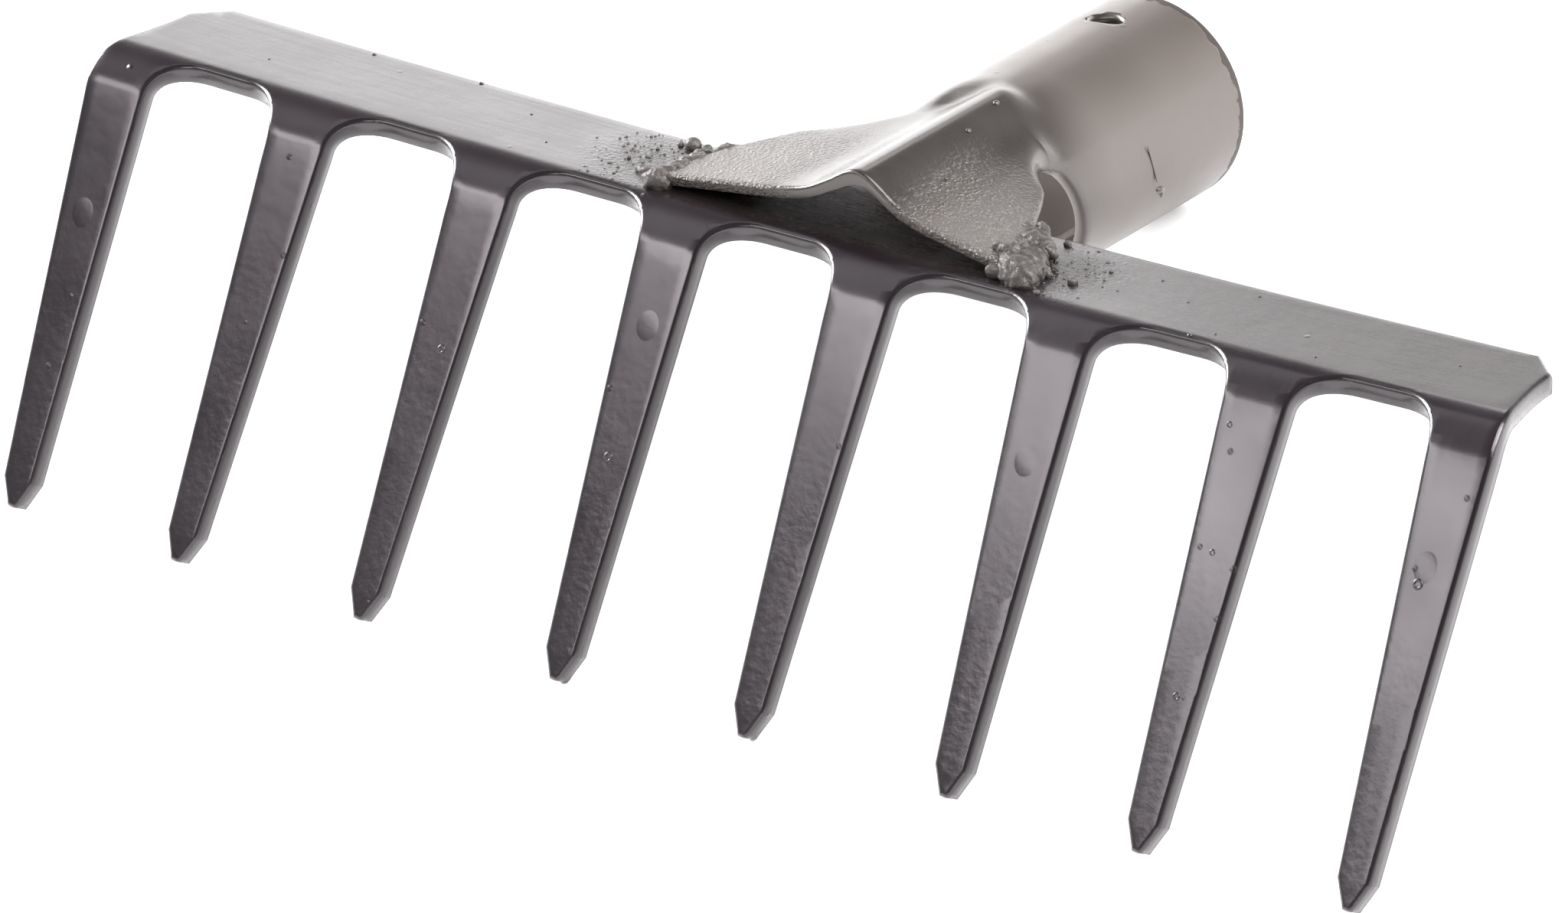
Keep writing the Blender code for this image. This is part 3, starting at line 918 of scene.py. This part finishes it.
def comb_paint():
    """Dipped black paint: smooth and streaked on the band, orange-peeled towards the points."""
    material, tree, shader = new_material("comb_paint_gloss")
    place = add(tree, "ShaderNodeTexCoord").outputs["Object"]
    along = layer(tree, "along")
    sandy = layer(tree, "sand")
    cloud = noise_node(tree, place, 70.0, 4.0)
    streak = noise_node(tree, place, 1400.0, 4.0, (0.035, 1.0, 1.0))
    wave = noise_node(tree, place, 260.0, 2.0)
    peel = noise_node(tree, place, 850.0, 2.0)
    fine = noise_node(tree, place, 2600.0, 2.0)
    grit = noise_node(tree, place, 1700.0, 3.0)
    lower = ramp(tree, along, *PEEL_ALONG, 0.08, 1.0)
    flat = ramp(tree, along, *BAND_ALONG, 1.0, 0.0)
    face = blend_color(tree, flat, blend_color(tree, cloud, *VIOLET), blend_color(tree, cloud, *BROWN))
    rim = ramp(tree, layer(tree, "rim"), 0.2, 0.9)
    # Painted shade on the rolled edges: the rim rings are blended to the darker colour.
    tree.links.new(blend_color(tree, rim, face, ROLLED_EDGE_PAINTED_SHADE), shader.inputs["Base Color"])
    gloss = plus(tree, ramp(tree, cloud, 0.3, 0.7, 0.20, 0.27), times(tree, lower, 0.06))
    grain = times(tree, flat, ramp(tree, streak, 0.35, 0.70, 0.0, 0.08))
    tree.links.new(plus(tree, gloss, grain), shader.inputs["Roughness"])
    normal = bump(tree, times(tree, flat, streak), 0.06, 0.00005)
    normal = bump(tree, times(tree, sandy, grit), 0.80, 0.00060, normal)
    normal = bump(tree, times(tree, lower, peel), 0.35, 0.00016, normal)
    normal = bump(tree, wave, 0.16, 0.00020, normal)
    normal = bump(tree, specks(tree, place, 160.0, 0.085), 0.50, 0.00020, normal)
    normal = bump(tree, fine, 0.12, 0.00003, normal)
    tree.links.new(normal, shader.inputs["Normal"])
    shader.inputs["Specular IOR Level"].default_value = 0.62
    shader.inputs["Specular Tint"].default_value = (1.0, 0.92, 0.98, 1.0)
    shader.inputs["Coat Weight"].default_value = 0.25
    shader.inputs["Coat Roughness"].default_value = 0.12
    return material


def socket_paint():
    """The same paint on the socket: paler on the tube, sandy on the wings, chipped dark round the mouth, and
    painted light inside the tube, whose inner skin is painted pale.
    """
    material, tree, shader = new_material("socket_paint_gloss")
    place = add(tree, "ShaderNodeTexCoord").outputs["Object"]
    front = layer(tree, "front")
    inside = layer(tree, "inside")
    sandy = layer(tree, "sand")
    cloud = noise_node(tree, place, 80.0, 4.0)
    grit = noise_node(tree, place, 2300.0, 3.0)
    grit = plus(tree, grit, times(tree, specks(tree, place, 1500.0, 0.55), 0.6))
    ring = noise_node(tree, place, 500.0, 3.0, (1.0, 0.08, 1.0))
    wave = noise_node(tree, place, 240.0, 2.0)
    ragged = plus(tree, front, times(tree, noise_node(tree, place, 420.0, 4.0), 0.0030))
    chipped = ramp(tree, ragged, *CHIPPED_Y)
    # Painted light: the inner skin is blended to a pale colour from partway back along the saddle to the
    # mouth.
    inside_painted_light = times(tree, inside, ramp(tree, front, *BORE_Y))
    base = blend_color(tree, cloud, *SADDLE_PAINT)
    base = blend_color(tree, ramp(tree, front, *TUBE_Y), base, TUBE_PAINT)
    base = blend_color(tree, sandy, base, SANDY_PAINT)
    base = blend_color(tree, inside_painted_light, base, BORE_PAINTED_LIGHT)
    base = blend_color(tree, chipped, base, CHIPPED_RIM)
    tree.links.new(base, shader.inputs["Base Color"])
    satin = ramp(tree, front, *TUBE_Y, 0.0, 0.13)
    gloss = plus(tree, ramp(tree, cloud, 0.3, 0.7, 0.24, 0.32), plus(tree, satin, times(tree, sandy, 0.06)))
    dull = plus(tree, times(tree, chipped, 0.35), times(tree, inside, 0.08))
    tree.links.new(plus(tree, gloss, dull), shader.inputs["Roughness"])
    normal = bump(tree, ring, 0.10, 0.00010)
    normal = bump(tree, times(tree, sandy, grit), 0.85, 0.00048, normal)
    normal = bump(tree, wave, 0.22, 0.00022, normal)
    normal = bump(tree, specks(tree, place, 150.0, 0.080), 0.45, 0.00020, normal)
    normal = bump(tree, chipped, 0.60, 0.00015, normal)
    tree.links.new(normal, shader.inputs["Normal"])
    shader.inputs["Specular IOR Level"].default_value = 0.75
    shader.inputs["Specular Tint"].default_value = (1.0, 0.92, 0.89, 1.0)
    shader.inputs["Coat Weight"].default_value = 0.10
    shader.inputs["Coat Roughness"].default_value = 0.15
    return material


def weld_paint():
    """Paint over raw weld: a fine crust, worn paler on the crests of the folds."""
    material, tree, shader = new_material("painted_weld_metal")
    place = add(tree, "ShaderNodeTexCoord").outputs["Object"]
    cloud = noise_node(tree, place, 350.0, 4.0)
    grain = noise_node(tree, place, 1800.0, 4.0)
    worn = ramp(tree, add(tree, "ShaderNodeNewGeometry").outputs["Pointiness"], 0.52, 0.62)
    base = blend_color(tree, cloud, *WELD_PAINT)
    tree.links.new(blend_color(tree, worn, base, WORN_WELD), shader.inputs["Base Color"])
    tree.links.new(ramp(tree, grain, 0.3, 0.7, 0.36, 0.58), shader.inputs["Roughness"])
    tree.links.new(bump(tree, grain, 0.75, 0.00028), shader.inputs["Normal"])
    shader.inputs["Specular IOR Level"].default_value = 0.62
    shader.inputs["Specular Tint"].default_value = (1.0, 0.93, 0.91, 1.0)
    return material


# ---------------------------------------------------------------- studio

def make_floor():
    """White paper floor, a hair below the bowed comb's lowest tip."""
    mesh = bpy.data.meshes.new("floor")
    corners = ((-1.0, -1.0), (1.0, -1.0), (1.0, 1.0), (-1.0, 1.0))
    mesh.from_pydata([(FLOOR_REACH * x, FLOOR_REACH * y, 0.0) for x, y in corners], [], [(0, 1, 2, 3)])
    floor = bpy.data.objects.new("floor", mesh)
    floor.location.z = -FLOOR_DROP
    bpy.context.scene.collection.objects.link(floor)
    material, tree, shader = new_material("floor_paper")
    shader.inputs["Base Color"].default_value = (0.90, 0.90, 0.90, 1.0)
    shader.inputs["Roughness"].default_value = 0.9
    mesh.materials.append(material)


def area_light(name, centre, target, size, radiance):
    """A soft panel of the given radiance that faces the target and isn't itself seen by the camera."""
    light = bpy.data.lights.new(name, "AREA")
    light.shape = "RECTANGLE"
    light.size, light.size_y = size
    light.energy = radiance * math.pi * size[0] * size[1]
    lamp = bpy.data.objects.new(name, light)
    lamp.location = centre
    lamp.rotation_euler = (Vector(centre) - Vector(target)).to_track_quat("Z", "Y").to_euler()
    lamp.visible_camera = False
    bpy.context.scene.collection.objects.link(lamp)


def make_light():
    """White horizon, dim overhead, and the soft panels that the glossy paint reflects."""
    world = bpy.data.worlds.new("studio")
    bpy.context.scene.world = world
    world.use_nodes = True
    tree = world.node_tree
    background = tree.nodes["Background"]
    split = add(tree, "ShaderNodeSeparateXYZ")
    tree.links.new(add(tree, "ShaderNodeTexCoord").outputs["Generated"], split.inputs["Vector"])
    height = ramp(tree, split.outputs["Z"], 0.02, 0.38, SKY_HORIZON, SKY_OVERHEAD)
    tree.links.new(height, background.inputs["Strength"])
    background.inputs["Color"].default_value = SKY_COLOR
    for panel in PANELS:
        area_light(*panel)


def make_camera():
    """The photo's view: a long lens from above and to the right of the comb's front, rolled clockwise."""
    camera = bpy.data.cameras.new("camera")
    camera.lens = CAMERA_LENS
    camera.sensor_width = CAMERA_SENSOR
    camera.dof.use_dof = False
    camera.clip_start = 0.05
    eye = bpy.data.objects.new("camera", camera)
    level = math.cos(CAMERA_ELEVATION)
    back = Vector((math.sin(CAMERA_AZIMUTH) * level, -math.cos(CAMERA_AZIMUTH) * level,
                   math.sin(CAMERA_ELEVATION)))
    turn = Matrix.Rotation(CAMERA_AZIMUTH, 4, "Z") @ Matrix.Rotation(0.5 * math.pi - CAMERA_ELEVATION, 4, "X")
    place = Matrix.Translation(CAMERA_AIM + back * CAMERA_DISTANCE)
    eye.matrix_world = place @ turn @ Matrix.Rotation(CAMERA_ROLL, 4, "Z")
    bpy.context.scene.collection.objects.link(eye)
    bpy.context.scene.camera = eye


make_comb(comb_paint())
make_socket(socket_paint())
weld_look = weld_paint()
make_left_weld(weld_look)
make_right_weld(weld_look)
make_floor()
make_light()
make_camera()
bpy.context.scene.view_settings.view_transform = "Standard"
